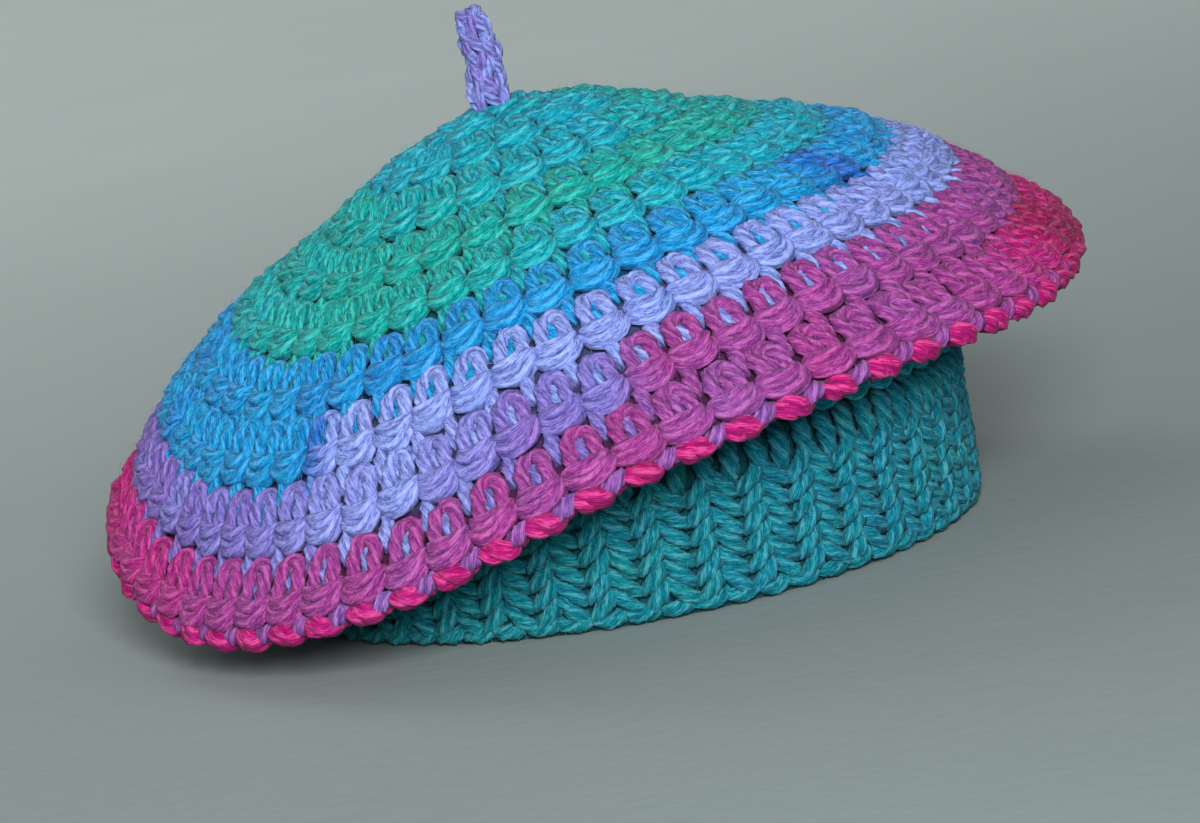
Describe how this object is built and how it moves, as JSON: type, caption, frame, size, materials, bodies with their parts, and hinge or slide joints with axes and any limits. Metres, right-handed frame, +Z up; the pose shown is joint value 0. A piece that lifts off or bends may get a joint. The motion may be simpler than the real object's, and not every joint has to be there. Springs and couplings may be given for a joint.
{
  "type": "crochet hat",
  "caption": "Slouchy crocheted beret with a wide domed crown worked in rounds, a turned-under rim, a snug head band and a short stem on top.",
  "frame": {"origin": "on the floor under the middle of the hat", "axes": "+Z up out of the head opening's axis, -Y to the front of the hat, +X to the side where the crown is raised"},
  "size_m": [0.2524, 0.258, 0.1422],
  "materials": {
    "crown_yarn": "plied yarn in rounds of teal, blue, periwinkle and plum",
    "edge_yarn": "magenta and lilac plied yarn",
    "underside_yarn": "plied yarn in rounds of plum, periwinkle and blue",
    "band_yarn": "teal plied yarn",
    "stem_yarn": "lavender and violet plied yarn"
  },
  "bodies": {
    "root": {"crown_top": "crown_yarn", "edge_round": "edge_yarn", "crown_underside": "underside_yarn", "head_band": "band_yarn", "stem": "stem_yarn"}
  },
  "joints": []
}
